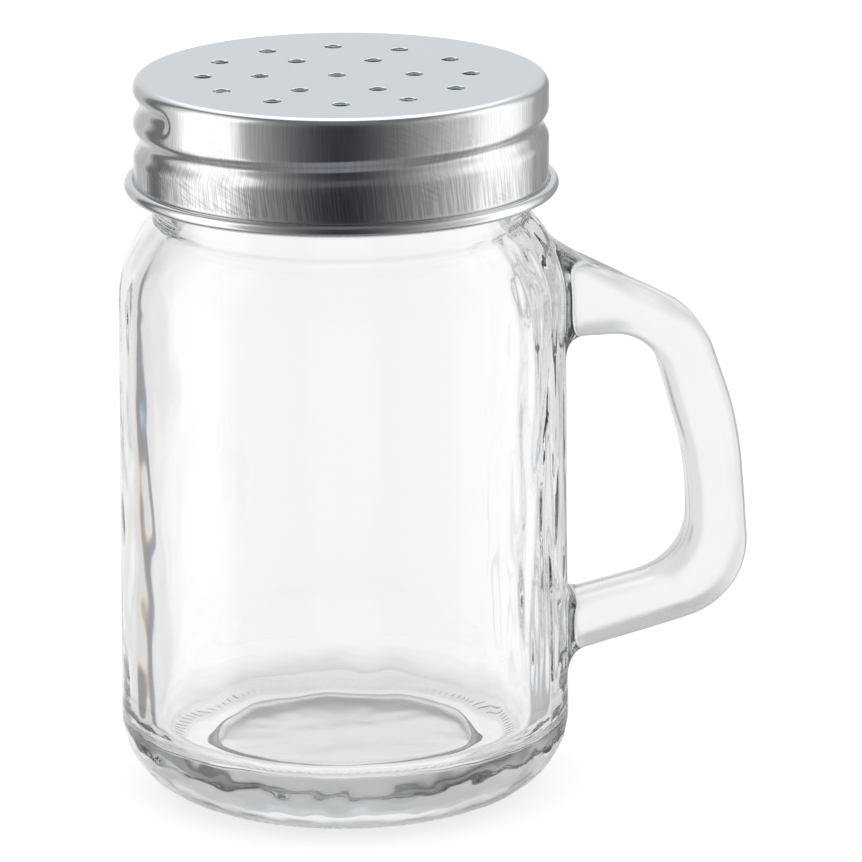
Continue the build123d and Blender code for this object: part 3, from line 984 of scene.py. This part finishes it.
# What is seen through the glass: a white tent, a little greyer between its panels, with a
# narrow dark gap on each side and two faint ones behind the camera. Going up it turns grey,
# and down it is grey and then the white table: each level has the climbs between which it
# comes in, and its brightness. Fringe is how far red and blue are each turned, in degrees.
glassTent = dict(between=0.78, levels=[(3, 18, 0.55), (-24, -44, 0.7), (-46, -64, 0.97)], fringe=0.5)
glassPanels = [(0, 17, 6, 0.97), (90, 17, 6, 0.97), (180, 17, 6, 0.97), (-90, 17, 6, 0.97),
               (47, 2, 5, 0.4), (-44, 2, 4, 0.3), (133, 2, 6, 0.8), (-133, 2, 6, 0.8)]


# The unit direction at a bearing from the line of sight and a height above the ground
def bearing(angle, climb=0.0):
    turned, climb = radians(angle - studio["cameraAzimuth"]), radians(climb)
    return (sin(turned) * cos(climb), cos(turned) * cos(climb), sin(climb))


# Weight or brightness that changes from one value to another round a direction
def spot(tree, direction, middle, half, soft, outside, inside):
    facing = addNode(tree, "ShaderNodeVectorMath", {0: direction, 1: middle}, operation="DOT_PRODUCT")
    return addNode(tree, "ShaderNodeMapRange", {
        0: facing.outputs["Value"], 1: cos(radians(half + soft)), 2: cos(radians(half - soft)),
        3: outside, 4: inside}, interpolation_type="SMOOTHSTEP")


def studioWorld():
    world = bpy.data.worlds.new("whiteTent")
    scene.world = world
    tree = emptyTree(world)
    direction = addNode(tree, "ShaderNodeTexCoord").outputs["Generated"]
    flat = addNode(tree, "ShaderNodeVectorMath", {0: direction, 1: (1, 1, 0)}, operation="MULTIPLY")
    ground = addNode(tree, "ShaderNodeVectorMath", {0: flat}, operation="NORMALIZE")
    rays = addNode(tree, "ShaderNodeLightPath")

    look = metalTent
    towards = addNode(tree, "ShaderNodeVectorMath", {0: ground, 1: bearing(180)},
                      operation="DOT_PRODUCT")
    metal = addNode(tree, "ShaderNodeMapRange", {
        0: towards.outputs["Value"], 1: look["sideReach"], 2: 1.0, 3: look["side"], 4: look["front"]})
    for angle, half, soft, level in metalPanels:
        metal = spot(tree, ground, bearing(angle), half, soft, metal, level)
    for climb, half, soft, level in (look["below"], look["above"]):
        metal = spot(tree, direction, bearing(0, climb), half, soft, metal, level)
    climb, half, soft, backLevel = look["back"]
    behind = spot(tree, direction, bearing(0, climb), half, soft, 0.0, 1.0)
    ahead = spot(tree, ground, bearing(180), *look["ahead"], 0.0, 1.0)
    tint = (1, 1, 1, 1)
    for share, colour in ((ahead, look["frontTint"]), (behind, look["backTint"])):
        tint = addNode(tree, "ShaderNodeMix", {0: share, 6: tint, 7: (*colour, 1)},
                       data_type="RGBA").outputs[2]
    metal = addNode(tree, "ShaderNodeMix", {0: behind, 2: metal, 3: backLevel})
    climb, half, soft, level = look["high"]
    metal = spot(tree, direction, bearing(0, climb), half, soft, metal, level)
    mirrored = addNode(tree, "ShaderNodeBackground", {"Color": tint, "Strength": metal})

    # Thick glass bends blue more than red, so each colour sees the tent a little turned
    upwards = addNode(tree, "ShaderNodeSeparateXYZ", {0: direction}).outputs[2]
    colours = addNode(tree, "ShaderNodeCombineColor")
    for channel, turn in enumerate((-glassTent["fringe"], 0.0, glassTent["fringe"])):
        glass = glassTent["between"]
        for angle, half, soft, level in glassPanels:
            glass = spot(tree, ground, bearing(angle + turn), half, soft, glass, level)
        for start, end, level in glassTent["levels"]:
            glass = addNode(tree, "ShaderNodeMapRange", {
                0: upwards, 1: sin(radians(start + turn)), 2: sin(radians(end + turn)),
                3: glass, 4: level})
        tree.links.new(glass.outputs[0], colours.inputs[channel])
    throughGlass = addNode(tree, "ShaderNodeBackground", {"Color": colours, "Strength": 1.0})
    white = addNode(tree, "ShaderNodeBackground", {"Color": (1, 1, 1, 1), "Strength": 1.0})

    # A ray out of the glass counts as glossy too, so what it sees is mixed in last
    sky = addNode(tree, "ShaderNodeMixShader", {
        0: rays.outputs["Is Glossy Ray"], 1: white, 2: mirrored})
    sky = addNode(tree, "ShaderNodeMixShader", {
        0: rays.outputs["Is Transmission Ray"], 1: sky, 2: throughGlass})
    addNode(tree, "ShaderNodeOutputWorld", {0: sky})


def studioFloor():
    half = studio["floorSize"] / 2
    form = newForm()
    corners = [(-half, -half), (half, -half), (half, half), (-half, half)]
    addPoints(form, [(x, y, -studio["floorBelow"]) for x, y in corners])
    form["faces"].append((0, 1, 2, 3))
    ground = meshFrom("studio_floor", form)
    material = bpy.data.materials.new("paintedTable")
    tree = emptyTree(material)
    paint = addNode(tree, "ShaderNodeBsdfDiffuse", {"Color": (studio["floorAlbedo"],) * 3 + (1,)})
    glow = addNode(tree, "ShaderNodeEmission", {"Strength": studio["floorGlow"]})
    both = addNode(tree, "ShaderNodeAddShader", {0: paint, 1: glow})
    addNode(tree, "ShaderNodeOutputMaterial", {"Surface": both})
    ground.data.materials.append(material)
    ground.visible_glossy = False
    ground.visible_transmission = False


def studioCamera():
    data = bpy.data.cameras.new("photoCamera")
    data.lens = studio["lens"]
    data.sensor_width = studio["sensor"]
    data.clip_start = studio["nearest"] * mm
    camera = bpy.data.objects.new("photoCamera", data)
    azimuth = radians(studio["cameraAzimuth"])
    reach = studio["cameraDistance"] * mm
    height = studio["cameraHeight"] * mm
    place = Matrix.Translation((sin(azimuth) * reach, -cos(azimuth) * reach, height))
    aim = Matrix.Rotation(azimuth - radians(studio["yaw"]), 4, "Z")
    tilt = Matrix.Rotation(radians(90 - studio["pitch"]), 4, "X")
    spin = Matrix.Rotation(radians(studio["roll"]), 4, "Z")
    camera.matrix_world = place @ aim @ tilt @ spin
    scene.collection.objects.link(camera)
    scene.camera = camera


studioWorld()
studioFloor()
studioCamera()
scene.view_settings.view_transform = "Standard"

# Light bounces many times inside thick glass before it comes out
scene.cycles.max_bounces = 40
scene.cycles.glossy_bounces = 24
scene.cycles.transmission_bounces = 32
